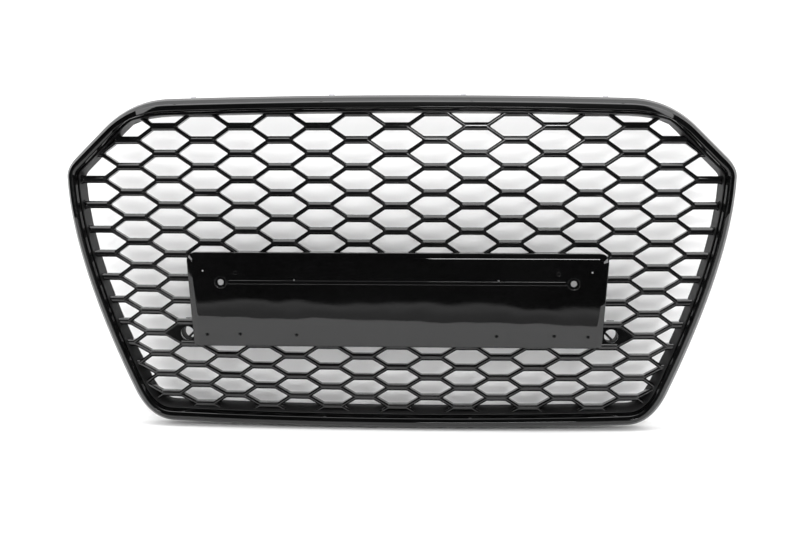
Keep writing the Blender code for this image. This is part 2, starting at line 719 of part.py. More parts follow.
def panel_bosses():
    """Screw bosses behind the panel and the raised bead across its front."""
    bm = bmesh.new()
    for x, z in panel_screw_places():
        add_cylinder(bm, x, z, panel_front(z) + 0.001, panel_boss_end(x, z), BOSS_RADIUS)
    z = PANEL_TOP - PLATE_HOLE_DROP
    reach = PANEL_WIDTH / 2 - PLATE_HOLE_SIDE - BEAD_END
    half = BEAD_HEIGHT / 2
    corners = [Vector((-reach, z - half)), Vector((-reach, z + half)), Vector((reach, z + half)),
               Vector((reach, z - half))]
    bead = prism(corners, 0, PANEL_WALL)
    for vert in bead.verts:
        vert.co.y += panel_front(vert.co.z) - BEAD_PROUD
    append(bm, bead)
    return bm


def panel_bores():
    bm = bmesh.new()
    for x, z in panel_screw_places():
        end = panel_boss_end(x, z)
        add_cylinder(bm, x, z, end - PANEL_SCREW_LENGTH, end + 0.001, SCREW_RADIUS + GAP, 8)
    places = [(PLATE_HOLE_SIDE, PLATE_HOLE_DROP, 0.010, PLATE_HOLE_RADIUS, 16)]
    places += [(inward, drop, 0.010, PILOT_RADIUS, 8) for inward, drop in PILOT_HOLES]
    places += [(inward, drop, DIMPLE_DEPTH, DIMPLE_RADIUS, 8) for inward, drop in DIMPLES]
    for side in (-1, 1):
        for inward, drop, depth, radius, facets in places:
            x, z = side * (PANEL_WIDTH / 2 - inward), PANEL_TOP - drop
            front = panel_front(z)
            add_cylinder(bm, x, z, front - 0.005, front + depth, radius, facets)
    return bm


def make_panel_screws(material):
    for number, (x, z) in enumerate(panel_screw_places(), 1):
        seat = surface(x, z) + MESH_REAR - EAR_RECESS + GAP
        screw(f"panel_screw_{number}", x, z, seat, PANEL_SCREW_LENGTH, SCREW_RADIUS, SCREW_HEAD_RADIUS,
              SCREW_HEAD, material)


# ---------------------------------------------------------------- sensor brackets
def bracket_screw_places(side):
    """On the level bars above and below the sensor's cell."""
    x = sensor_place(side).x
    row = sensor_cell()[1]
    return [Vector((x, row_height(row - 0.5))), Vector((x, row_height(row + 0.5)))]


def bracket_front(side):
    x, z = sensor_place(side)
    return max(surface(x * 1.05, z - 0.02), surface(x, z + 0.02)) + MESH_REAR + GAP + 0.0004


def make_bracket(side, name, material):
    """A tube behind the sensor's hole, ears for two screws, and an arm slanted across the tube."""
    x, z = sensor_place(side)
    front = bracket_front(side)
    outer = BRACKET_BORE + BRACKET_WALL
    bm = bmesh.new()
    ears = [place_.y for place_ in bracket_screw_places(side)]
    add_block(bm, (x - BRACKET_EAR / 2, front, min(ears) - 0.0045),
              (x + BRACKET_EAR / 2, front + BRACKET_PLATE, max(ears) + 0.0045))
    bracket = add_object(name, bm, PARTS, material)
    tube, bore, arm, holes = bmesh.new(), bmesh.new(), bmesh.new(), bmesh.new()
    add_cylinder(tube, x, z, front, front + BRACKET_LENGTH, outer, 20)
    add_cylinder(bore, x, z, front - 0.01, front + BRACKET_LENGTH + 0.01, BRACKET_BORE, 20)
    half = BRACKET_ARM / 2
    reach = math.sqrt(BRACKET_BORE ** 2 - BRACKET_ARM_SHIFT ** 2) + BRACKET_WALL * 0.6
    add_block(arm, (-reach, front + BRACKET_LENGTH - BRACKET_ARM - 0.001, -half - BRACKET_ARM_SHIFT),
              (reach, front + BRACKET_LENGTH - 0.001, half - BRACKET_ARM_SHIFT))
    lean = Matrix.Rotation(side * math.radians(45), 4, "Y")
    bmesh.ops.transform(arm, matrix=Matrix.Translation((x, 0, z)) @ lean, verts=arm.verts)
    for place_ in bracket_screw_places(side):
        add_cylinder(holes, place_.x, place_.y, front - 0.002, front + BRACKET_PLATE + 0.002,
                     SENSOR_SCREW_RADIUS + GAP, 8)
    boolean(bracket, add_object(name + "_tube", tube, CUTTERS), "UNION")
    boolean(bracket, add_object(name + "_bore", bore, CUTTERS), "DIFFERENCE")
    boolean(bracket, add_object(name + "_arm", arm, CUTTERS), "UNION")
    boolean(bracket, add_object(name + "_holes", holes, CUTTERS), "DIFFERENCE")
    return bracket


def make_sensor_screws(material):
    number = 0
    for side in (-1, 1):
        for x, z in bracket_screw_places(side):
            number += 1
            seat = bracket_front(side) + BRACKET_PLATE + GAP
            screw(f"sensor_screw_{number}", x, z, seat, SENSOR_SCREW_LENGTH, SENSOR_SCREW_RADIUS,
                  SENSOR_SCREW_HEAD_RADIUS, SENSOR_SCREW_HEAD, material)


# ---------------------------------------------------------------- top clips
def make_clip(number, x, path, material):
    """A folded spring clip pushed onto the carrier's rear wall, with a hump that stands over the edge."""
    wall_top = edge_height(path, x, True) - FOOT_EDGE
    rear = surface(x, wall_top) + RIM_REAR + RING_GAP + CARRIER_PLATE + CARRIER_FLANGE
    under = wall_top - CARRIER_FLANGE_WALL - 2 * GAP
    hump = edge_height(path, x, True) + CLIP_RISE
    over = wall_top + 2 * GAP
    profile = [(rear - 0.0060, under), (rear + 0.0012, under), (rear + 0.0012, over),
               (rear - 0.0030, over), (rear - 0.0060, hump - 0.0015), (rear - 0.0075, hump),
               (rear - 0.0090, hump - 0.0015)]
    bm = bmesh.new()
    sides = []
    for offset in (-CLIP_WIDTH / 2, CLIP_WIDTH / 2):
        sides.append([bm.verts.new((x + offset, y, z)) for y, z in profile])
    for index in range(len(profile) - 1):
        bm.faces.new((sides[0][index], sides[1][index], sides[1][index + 1], sides[0][index + 1]))
    clip = add_object(f"top_clip_{number}", bm, PARTS, material)
    sheet = clip.modifiers.new("sheet", "SOLIDIFY")
    sheet.thickness = CLIP_SHEET
    sheet.offset = 1
    sheet.use_even_offset = True
    return clip


# ================================================================ assembly
def build():
    gloss = plastic("gloss_black", 0.010, 0.08)
    satin = plastic("satin_black", 0.014, 0.22)
    rough = plastic("textured_black", 0.020, 0.45)
    steel = plastic("dark_steel", 0.25, 0.35, metallic=1.0)
    path, panel_path = grille_outline(), panel_outline(PANEL_FOOT_CORNER)
    places = frame_screw_places(path)
    make_bezel(path, places, gloss)
    make_mesh(path, panel_outline(WINDOW_CORNER), places, satin)
    make_panel(panel_path, gloss)
    make_carrier(path, places, rough)
    make_frame_screws(places, steel)
    make_panel_screws(steel)
    for side, name in ((-1, "sensor_bracket_left"), (1, "sensor_bracket_right")):
        make_bracket(side, name, rough)
    make_sensor_screws(steel)
    for number, x in enumerate(CLIP_X, 1):
        make_clip(number, x, path, steel)


build()
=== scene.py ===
import math

import bmesh
import bpy
from mathutils import Matrix, Vector


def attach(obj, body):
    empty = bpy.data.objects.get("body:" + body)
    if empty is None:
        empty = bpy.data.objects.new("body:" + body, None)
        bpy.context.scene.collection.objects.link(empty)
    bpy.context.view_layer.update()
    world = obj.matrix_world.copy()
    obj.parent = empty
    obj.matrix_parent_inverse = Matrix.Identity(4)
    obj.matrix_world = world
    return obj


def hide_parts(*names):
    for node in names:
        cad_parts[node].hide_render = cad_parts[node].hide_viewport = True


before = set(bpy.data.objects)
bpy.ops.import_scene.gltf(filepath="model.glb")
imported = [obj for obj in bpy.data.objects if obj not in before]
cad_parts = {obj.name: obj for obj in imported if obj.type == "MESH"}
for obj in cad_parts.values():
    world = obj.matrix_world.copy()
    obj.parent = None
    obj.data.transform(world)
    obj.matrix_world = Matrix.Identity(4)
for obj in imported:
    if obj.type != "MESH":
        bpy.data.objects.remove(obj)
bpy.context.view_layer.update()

# Sizes of the grille, in metres, the same as in its CAD source.
# X runs across, the front faces -Y, Z is up, and depths are measured backwards from the master surface.
OVERALL_WIDTH, OVERALL_HEIGHT = 0.892, 0.446
TOP_CORNER_SETBACK, TOP_EDGE_RISE = 0.090, 0.0050
SHOULDER_DROP, SHOULDER_OVERSHOOT = 0.0940, 0.0007
FOOT_SETBACK, BOTTOM_EDGE_SAG = 0.103, 0.0047
LOWER_SIDE_BULGE, LOWER_SIDE_PEAK = 0.0168, 0.315
TOP_CORNER_ROUND, SHOULDER_ROUND, FOOT_ROUND = 0.052, 0.0197, 0.035
PLAN_RADIUS, PROFILE_RADIUS, NOSE_HEIGHT = 3.95, 1.5, 0.075
CREST_TOP, CREST_SIDE, CREST_BOTTOM = 0.0160, 0.0115, 0.0095
BEZEL_TOP, BEZEL_SIDE, BEZEL_BOTTOM = 0.0206, 0.0166, 0.0186
TOP_CORNER_NARROWING, TOP_CORNER_FACING, TOP_CORNER_SPREAD = 0.0046, 0.88, 0.14
BEZEL_WALL, CREST_DEPTH, BEZEL_RETURN = 0.0026, -0.006, 0.018
COLUMN_PITCH, COLUMN_NARROWING, COLUMN_NARROWING_RATE = 0.0518, 0.00044, 0.0000217
ROW_PITCH, ROW_SHRINK, FIRST_ROW_DROP = 0.03544, 0.00037, 0.0586
LEVEL_BAR, LEVEL_BAR_SLIMMING, SLANTED_BAR = 0.0104, 0.00018, 0.0054
MESH_FRONT, MESH_REAR = 0.008, 0.021
RIM_FRONT, RIM_REAR, RIM_LEDGE = 0.0045, 0.022, 0.0014
RIM_TOP, RIM_SIDE, RIM_LOW_LEAN = 0.0241, 0.0223, 0.0070
RIM_CLEARANCE, FOOT_PLATE, FOOT_EDGE = 0.0006, 0.0024, 0.0045
CARRIER_PLATE, RING_GAP, GAP = 0.0026, 0.0006, 0.0003
FRAME_SCREWS, SCREW_INSET = 12, 0.0122
SCREW_RADIUS, SCREW_HEAD_RADIUS, SCREW_HEAD, SCREW_LENGTH = 0.0017, 0.0036, 0.0024, 0.013
BOSS_RADIUS, PAD_HEIGHT = 0.0042, 0.0014
PANEL_WIDTH, PANEL_TAPER, PANEL_HEIGHT, PANEL_TOP = 0.5562, 0.0168, 0.1256, 0.0172
PANEL_WALL, PANEL_CHAMFER, PANEL_BOTTOM_EDGE = 0.0028, 0.0078, 0.0012
PANEL_CORNER, PANEL_FOOT_CORNER, PANEL_FRONT = 0.014, 0.0030, -0.0045
PANEL_RAKE, PANEL_LAP = math.radians(4.0), 0.0008
PANEL_SCREW_SIDE, PANEL_SCREW_INSET, PANEL_SCREW_LENGTH = 0.0981, 0.0125, 0.012
WINDOW_EDGE, WINDOW_WALL, WINDOW_CORNER = 0.0010, 0.0028, 0.0045
EAR_WIDTH, EAR_THICKNESS, EAR_RECESS, EAR_MARGIN = 0.016, 0.0030, 0.0005, 0.0015
PLATE_HOLE_SIDE, PLATE_HOLE_DROP, PLATE_HOLE_RADIUS = 0.0463, 0.0396, 0.0041
BEAD_HEIGHT, BEAD_END = 0.0050, 0.0075
# Places on the panel are (in from its side, down from its top), for both sides.
PILOT_RADIUS, PILOT_HOLES = 0.0012, ((0.0225, 0.0245), (0.1438, 0.0360))
DIMPLE_RADIUS, DIMPLE_DEPTH = 0.0017, 0.0010
DIMPLES = ((0.0661, 0.0268), (0.0268, 0.1096), (0.0709, 0.1088), (0.1460, 0.1096))
SENSOR_DROP, SENSOR_FROM_PANEL, SENSOR_OUTBOARD = 0.1126, 0.0030, 0.0033
SENSOR_HOLE_RADIUS, SENSOR_PAD_FRONT, SENSOR_PAD_THICKNESS = 0.0092, 0.0120, 0.0034
SENSOR_SCREW_RADIUS, SENSOR_SCREW_HEAD_RADIUS, SENSOR_SCREW_HEAD = 0.0013, 0.0026, 0.0016
SENSOR_SCREW_LENGTH, BRACKET_PLATE = 0.009, 0.0022
BRACKET_REACH, BRACKET_CLEARANCE = 0.02, 0.0004

# Sizes that only the looks have
RIDGE_DEPTH = 0.0026             # depth of the bars' chamfers, shallower than the CAD's
UNDER_CHAMFER, UPPER_CHAMFER = 0.22, 0.13    # where a level bar's chamfers start, as shares of its height
PANEL_BOW_RADIUS = 1.8           # the plate panel's face, seen from the side
PANEL_CHAMFER_FALL = 0.0028      # depth of its chamfer, flatter than the CAD's
PLATE_HOLE_RING = (0.0078, 0.0011, 0.00045)  # radius, width and height of a raised ring
DIMPLE_RING = (0.0024, 0.0007, 0.0002)
BEAD_CLEARANCE = 0.0016
THREAD_PITCH = 0.0011
DRIVE_LOBES, LOBE_DEPTH = 6, 0.16
SMOOTH_ANGLE = math.radians(32)

# Studio and camera
FLOOR_HEIGHT, FLOOR_SIDE, FLOOR_BACK = -0.2246, 2.2, 1.3
FLOOR_FRONT_LEFT, FLOOR_FRONT_RIGHT = -0.70, -0.27
BACKDROP, BACKDROP_SIDE, BACKDROP_TOP = 0.105, 0.66, 1.3
CAMERA_AZIMUTH, CAMERA_ELEVATION = math.radians(3.1218), math.radians(5.0)
CAMERA_AIM, CAMERA_DISTANCE = Vector((0.0052367, 0, -0.0007523)), 1.6375
FOCAL_LENGTH, FILM_WIDTH = 56.25, 36


# ================================================================ outlines
def surface(x, z):
    """Depth of the bowed master surface."""
    return x * x / (2 * PLAN_RADIUS) + (z - NOSE_HEIGHT) ** 2 / (2 * PROFILE_RADIUS)


def lean(x, z, radius):
    """How much the master surface falls back across a radius at a point."""
    return radius * math.hypot(x / PLAN_RADIUS, (z - NOSE_HEIGHT) / PROFILE_RADIUS)


def round_corner(before, corner, after, steps):
    """Points of a rounded corner, without its first and last point."""
    points = []
    for step in range(1, steps):
        t = step / steps
        points.append(before * (1 - t) ** 2 + corner * 2 * t * (1 - t) + after * t * t)
    return points


def close_half(half):
    """A right half, from the top's middle to the foot's middle, joined to its mirror image."""
    left = [Vector((-p.x, p.y)) for p in reversed(half[1:-1])]
    return half + left


def with_normals(loop):
    """Pairs of point and outward normal for a closed loop that runs clockwise in the front view."""
    pairs = []
    for index, point in enumerate(loop):
        before, after = loop[index - 1], loop[(index + 1) % len(loop)]
        a, b = (point - before).normalized(), (after - point).normalized()
        tangent = (a + b).normalized()
        pairs.append((point, Vector((-tangent.y, tangent.x))))
    return pairs


def grille_outline(fine):
    """The grille's outer edge; fine multiplies the number of its points."""
    half_width, half_height = OVERALL_WIDTH / 2, OVERALL_HEIGHT / 2
    top_corner = Vector((half_width - TOP_CORNER_SETBACK, half_height - TOP_EDGE_RISE))
    shoulder = Vector((half_width + SHOULDER_OVERSHOOT, half_height - SHOULDER_DROP))
    foot = Vector((half_width - FOOT_SETBACK, BOTTOM_EDGE_SAG - half_height))

    def on_top(x):
        return Vector((x, half_height - TOP_EDGE_RISE * (x / top_corner.x) ** 2))

    def on_bottom(x):
        return Vector((x, BOTTOM_EDGE_SAG * (x / foot.x) ** 2 - half_height))

    def on_side(t):
        along = foot - shoulder
        out = Vector((-along.y, along.x)).normalized()
        drawn = shoulder + along * LOWER_SIDE_PEAK + out * LOWER_SIDE_BULGE * 2
        return shoulder * (1 - t) ** 2 + drawn * 2 * t * (1 - t) + foot * t * t

    slant = (shoulder - top_corner).normalized()
    side_length = (foot - shoulder).length
    first = on_top(top_corner.x - TOP_CORNER_ROUND)
    steps = 5 * fine
    half = [on_top(first.x * step / steps) for step in range(steps + 1)]
    slant_start = top_corner + slant * TOP_CORNER_ROUND
    half += round_corner(first, top_corner, slant_start, 6 * fine) + [slant_start]
    slant_end = shoulder - slant * SHOULDER_ROUND
    half += [slant_start.lerp(slant_end, step / (2 * fine)) for step in range(1, 2 * fine + 1)]
    side_start, side_end = SHOULDER_ROUND / side_length, 1 - FOOT_ROUND / side_length
    half += round_corner(slant_end, shoulder, on_side(side_start), 5 * fine)
    steps = 7 * fine
    half += [on_side(side_start + (side_end - side_start) * step / steps) for step in range(steps + 1)]
    last = on_bottom(foot.x - FOOT_ROUND)
    half += round_corner(on_side(side_end), foot, last, 6 * fine)
    steps = 5 * fine
    half += [on_bottom(last.x * (1 - step / steps)) for step in range(steps + 1)]
    return with_normals(close_half(half))


def panel_loop(side, bottom, corner_round, foot_round, fine=3):
    """The plate panel's edge, moved in by a side and a bottom inset."""
    top, low = PANEL_TOP - side, PANEL_TOP - PANEL_HEIGHT + bottom
    upper = Vector((PANEL_WIDTH / 2, PANEL_TOP))
    down = (Vector(((PANEL_WIDTH - PANEL_TAPER) / 2, PANEL_TOP - PANEL_HEIGHT)) - upper).normalized()
    on_side = upper + Vector((down.y, -down.x)) * side
    corner = on_side + down * ((top - on_side.y) / down.y)
    foot = on_side + down * ((low - on_side.y) / down.y)
    start, end = Vector((corner.x - corner_round, top)), corner + down * corner_round
    half = [Vector((start.x * step / 5, top)) for step in range(6)]
    half += round_corner(start, corner, end, 5 * fine) + [end]
    side_end, bottom_start = foot - down * foot_round, Vector((foot.x - foot_round, low))
    half += [end.lerp(side_end, step / (2 * fine)) for step in range(1, 2 * fine + 1)]
    half += round_corner(side_end, foot, bottom_start, 2 * fine)
    half += [Vector((bottom_start.x * (1 - step / 5), low)) for step in range(6)]
    return with_normals(close_half(half))


def blend_by_facing(normal, top, side, bottom):
    """A size that changes round the edge between its values at the top, side and bottom."""
    upward = max(normal.y, 0) ** 4
    downward = max(-normal.y, 0) ** 4
    return side + (top - side) * upward + (bottom - side) * downward


def corner_narrowing(normal):
    return TOP_CORNER_NARROWING * max(0, 1 - abs(normal.y - TOP_CORNER_FACING) / TOP_CORNER_SPREAD)


def bezel_width(normal):
    return blend_by_facing(normal, BEZEL_TOP, BEZEL_SIDE, BEZEL_BOTTOM) - corner_narrowing(normal)


def rim_outer(normal):
    return bezel_width(normal) + RIM_CLEARANCE


def rim_back(point, normal):
    low = max(-point.y, 0) / (OVERALL_HEIGHT / 2)
    width = blend_by_facing(normal, RIM_TOP, RIM_SIDE, RIM_SIDE) + RIM_LOW_LEAN * low ** 2
    return width - corner_narrowing(normal)


# ================================================================ mesh helpers
def soften(profile, tangent, steps=4):
    """A polyline with its inner corners rounded."""
    points = [Vector(profile[0])]
    for index in range(1, len(profile) - 1):
        before, corner, after = (Vector(p) for p in profile[index - 1:index + 2])
        start = corner + (before - corner).normalized() * min(tangent, 0.45 * (before - corner).length)
        end = corner + (after - corner).normalized() * min(tangent, 0.45 * (after - corner).length)
        points += [start] + round_corner(start, corner, end, steps) + [end]
    return points + [Vector(profile[-1])]


def set_back(profile, distance):
    """A polyline moved sideways by a distance, towards its body."""
    points = [Vector(p) for p in profile]
    moved = []
    for index, point in enumerate(points):
        sides = []
        if index:
            sides.append((point - points[index - 1]).normalized())
        if index < len(points) - 1:
            sides.append((points[index + 1] - point).normalized())
        across = [Vector((-side.y, side.x)) for side in sides]
        middle = sum(across, Vector((0, 0))).normalized()
        moved.append(point + middle * distance / max(middle.dot(across[0]), 0.5))
    return moved


def place(point, normal, inset, depth):
    """The point at a depth below the master surface, inset from an edge's point."""
    x, z = point - normal * inset
    return Vector((x, surface(x, z) + depth, z))


def sweep(path, section):
    """Carry a closed section round a closed path. section(point, normal) gives its (inset, depth) points."""
    bm = bmesh.new()
    rings = [[bm.verts.new(place(point, normal, *pair)) for pair in section(point, normal)]
             for point, normal in path]
    bridge(bm, rings, closed_path=True)
    return bm


def bridge(bm, rings, closed_path=False):
    """Quads between neighbouring rings of vertices."""
    count = len(rings[0])
    for index in range(len(rings) if closed_path else len(rings) - 1):
        ring, following = rings[index], rings[(index + 1) % len(rings)]
        for side in range(count):
            other = (side + 1) % count
            bm.faces.new((ring[side], following[side], following[other], ring[other]))


def prism(points, front, rear):
    """A front outline extruded backwards."""
    bm = bmesh.new()
    face = bm.faces.new([bm.verts.new((p.x, front, p.y)) for p in points])
    moved = bmesh.ops.extrude_face_region(bm, geom=[face])["geom"]
    bmesh.ops.translate(bm, verts=[v for v in moved if isinstance(v, bmesh.types.BMVert)],
                        vec=(0, rear - front, 0))
    return bm


def append(bm, other):
    """Add another mesh to a mesh and free it."""
    carried = bpy.data.meshes.new("carried")
    other.to_mesh(carried)
    other.free()
    bm.from_mesh(carried)
    bpy.data.meshes.remove(carried)


def add_cylinder(bm, x, z, front, rear, radius, facets=32):
    """A cylinder along Y."""
    matrix = Matrix.Translation((x, (front + rear) / 2, z)) @ Matrix.Rotation(math.radians(90), 4, "X")
    bmesh.ops.create_cone(bm, cap_ends=True, segments=facets, radius1=radius, radius2=radius,
                          depth=rear - front, matrix=matrix)


def add_block(bm, low, high, edge=0.0003):
    """A block with softened edges."""
    block = bmesh.new()
    middle = (Vector(low) + Vector(high)) / 2
    size = Vector(high) - Vector(low)
    bmesh.ops.create_cube(block, size=1, matrix=Matrix.Translation(middle) @ Matrix.Diagonal((*size, 1)))
    bmesh.ops.bevel(block, geom=block.edges[:], offset=edge, segments=2, affect="EDGES")
    append(bm, block)


def add_ring(bm, x, z, profile, facets=48):
    """A closed (radius, depth) profile turned round an axis along Y."""
    rings = []
    for step in range(facets):
        angle = 2 * math.pi * step / facets
        rings.append([bm.verts.new((x + r * math.cos(angle), y, z + r * math.sin(angle)))
                      for r, y in profile])
    bridge(bm, rings, closed_path=True)


def half_round(front, radius, width, proud):
    """Profile of a low rounded ring that stands on a face."""
    points = [(radius + width / 2 * math.cos(math.pi * i / 8), front - proud * math.sin(math.pi * i / 8))
              for i in range(9)]
    return points + [(radius - width / 2, front + 0.001), (radius + width / 2, front + 0.001)]


def temporary(name, bm):
    """An object that only a Boolean needs."""
    bmesh.ops.recalc_face_normals(bm, faces=bm.faces)
    mesh = bpy.data.meshes.new(name)
    bm.to_mesh(mesh)
    bm.free()
    obj = bpy.data.objects.new(name, mesh)
    bpy.context.scene.collection.objects.link(obj)
    return obj


def cut(bm, *steps):
    """A mesh after Booleans. steps are pairs of operation and mesh."""
    body = temporary("body", bm)
    tools = []
    for number, (operation, tool) in enumerate(steps):
        tools.append(temporary(f"tool_{number}", tool))
        modifier = body.modifiers.new(f"step_{number}", "BOOLEAN")
        modifier.operation = operation
        modifier.solver = "EXACT"
        modifier.object = tools[-1]
    graph = bpy.context.evaluated_depsgraph_get()
    result = bmesh.new()
    result.from_mesh(body.evaluated_get(graph).to_mesh())
    for obj in [body] + tools:
        bpy.data.objects.remove(obj)
    return result


def add_piece(name, bm, material, nodes):
    """A finished piece that stands for CAD nodes."""
    bmesh.ops.recalc_face_normals(bm, faces=bm.faces)
    mesh = bpy.data.meshes.new(name)
    bm.to_mesh(mesh)
    bm.free()
    mesh.shade_smooth()
    mesh.set_sharp_from_angle(angle=SMOOTH_ANGLE)
    mesh.materials.append(material)
    obj = bpy.data.objects.new(name, mesh)
    bpy.context.scene.collection.objects.link(obj)
    shading = obj.modifiers.new("shading", "WEIGHTED_NORMAL")
    shading.keep_sharp = True
    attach(obj, "root")
    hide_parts(*nodes)


# ================================================================ materials
def finish_material(name, tones, roughness, grain, waves=None, metallic=0.0):
    """Plastic or metal whose tone and gloss drift over the surface, with a fine grain and slow waves.

    tones and roughness are (low, high); grain and waves are (size of a feature, height), in metres.
    """
    material = bpy.data.materials.new(name)
    material.use_nodes = True
    nodes, links = material.node_tree.nodes, material.node_tree.links
    shader = nodes["Principled BSDF"]
    shader.inputs["Metallic"].default_value = metallic
    place_node = nodes.new("ShaderNodeTexCoord")

    def noise(scale, detail):
        node = nodes.new("ShaderNodeTexNoise")
        node.inputs["Scale"].default_value = scale
        node.inputs["Detail"].default_value = detail
        links.new(place_node.outputs["Object"], node.inputs["Vector"])
        return node.outputs["Fac"]

    drift, mottle = noise(9, 3), noise(160, 4)
    both = nodes.new("ShaderNodeMix")
    both.inputs["Factor"].default_value = 0.45
    links.new(drift, both.inputs["A"])
    links.new(mottle, both.inputs["B"])
    ramp = nodes.new("ShaderNodeValToRGB")
    for element, position, tone in zip(ramp.color_ramp.elements, (0.36, 0.64), tones):
        element.position = position
        element.color = (tone, tone, tone * 1.04, 1)
    links.new(both.outputs["Result"], ramp.inputs["Fac"])
    links.new(ramp.outputs["Color"], shader.inputs["Base Color"])
    gloss = nodes.new("ShaderNodeMapRange")
    gloss.inputs["From Min"].default_value, gloss.inputs["From Max"].default_value = 0.35, 0.65
    gloss.inputs["To Min"].default_value, gloss.inputs["To Max"].default_value = roughness
    links.new(both.outputs["Result"], gloss.inputs["Value"])
    links.new(gloss.outputs["Result"], shader.inputs["Roughness"])
    last = None
    for size, height in [pair for pair in (waves, grain) if pair]:
        bump = nodes.new("ShaderNodeBump")
        bump.inputs["Strength"].default_value = 1.0
        bump.inputs["Distance"].default_value = height
        links.new(noise(1 / size, 1.5), bump.inputs["Height"])
        if last:
            links.new(last, bump.inputs["Normal"])
        last = bump.outputs["Normal"]
    links.new(last, shader.inputs["Normal"])
    return material


GLOSS = finish_material("gloss_black_finish", (0.0009, 0.0020), (0.015, 0.045), (0.0028, 0.0000025),
                        (0.09, 0.0005))
SATIN = finish_material("satin_black_finish", (0.0016, 0.0034), (0.07, 0.13), (0.0011, 0.0000022))
WALL = finish_material("perimeter_finish", (0.0030, 0.0060), (0.34, 0.46), (0.0009, 0.000006))
TEXTURED = finish_material("textured_black_finish", (0.008, 0.016), (0.42, 0.58), (0.0007, 0.00005))
STEEL = finish_material("dark_steel_finish", (0.20, 0.32), (0.28, 0.46), (0.0006, 0.000006), metallic=1.0)


# ================================================================ lattice
# Cells are (column, half row); junctions are (quarter columns, half rows), so that neighbours share them.
def row_height(row):
    return OVERALL_HEIGHT / 2 - FIRST_ROW_DROP - ROW_PITCH * row + ROW_SHRINK * row * row


def column_pitch(row):
    return COLUMN_PITCH - COLUMN_NARROWING * row - COLUMN_NARROWING_RATE * row * row


def lattice_point(quarters, half_rows):
    row = half_rows / 2
    return Vector((quarters / 4 * column_pitch(row), row_height(row)))


def cell_corners(column, half_row):
    """Keys of the six junctions round a cell, clockwise from its left corner."""
    middle = 4 * column
    return [(middle - 3, half_row), (middle - 1, half_row - 1), (middle + 1, half_row - 1),
            (middle + 3, half_row), (middle + 1, half_row + 1), (middle - 1, half_row + 1)]


def shift_inward(corners, distances):
    """The polygon whose edges lie inside a clockwise polygon's edges by the given distances."""
    lines = []
    for index, start in enumerate(corners):
        along = (corners[(index + 1) % len(corners)] - start).normalized()
        inward = Vector((along.y, -along.x))
        lines.append((start + inward * distances[index], along))
    points = []
    for index, (start, along) in enumerate(lines):
        before, before_along = lines[index - 1]
        cross = before_along.x * along.y - before_along.y * along.x
        gap = start - before
        points.append(before + before_along * ((gap.x * along.y - gap.y * along.x) / cross))
    return points


def rounded(points, tangent, steps=3):
    """A closed polygon with rounded corners, steps + 1 points for each."""
    result = []
    for index, corner in enumerate(points):
        before, after = points[index - 1], points[(index + 1) % len(points)]
        start = corner + (before - corner).normalized() * tangent
        end = corner + (after - corner).normalized() * tangent
        result += [start] + round_corner(start, corner, end, steps) + [end]
    return result


def inside(point, loop):
    """Whether a point lies inside a closed loop, by counting the edges beside it."""
    result = False
    for index, a in enumerate(loop):
        b = loop[index - 1]
        if (a.y > point.y) != (b.y > point.y):
            if point.x < (b.x - a.x) * (point.y - a.y) / (b.y - a.y) + a.x:
                result = not result
    return result


def lattice_cells(edge, window):
    """Cells with a corner inside the edge and a corner outside the panel's window."""
    widest = math.ceil(OVERALL_WIDTH / 2 / column_pitch(0)) + 2
    cells = []
    half_row = -6
    while row_height(half_row / 2) > -OVERALL_HEIGHT / 2 - ROW_PITCH:
        for column in range(-widest, widest + 1):
            if (column + half_row) % 2 == 0:
                corners = [lattice_point(*key) for key in cell_corners(column, half_row)]
                if any(inside(c, edge) for c in corners) and any(not inside(c, window) for c in corners):
                    cells.append((column, half_row))
        half_row += 1
    return cells


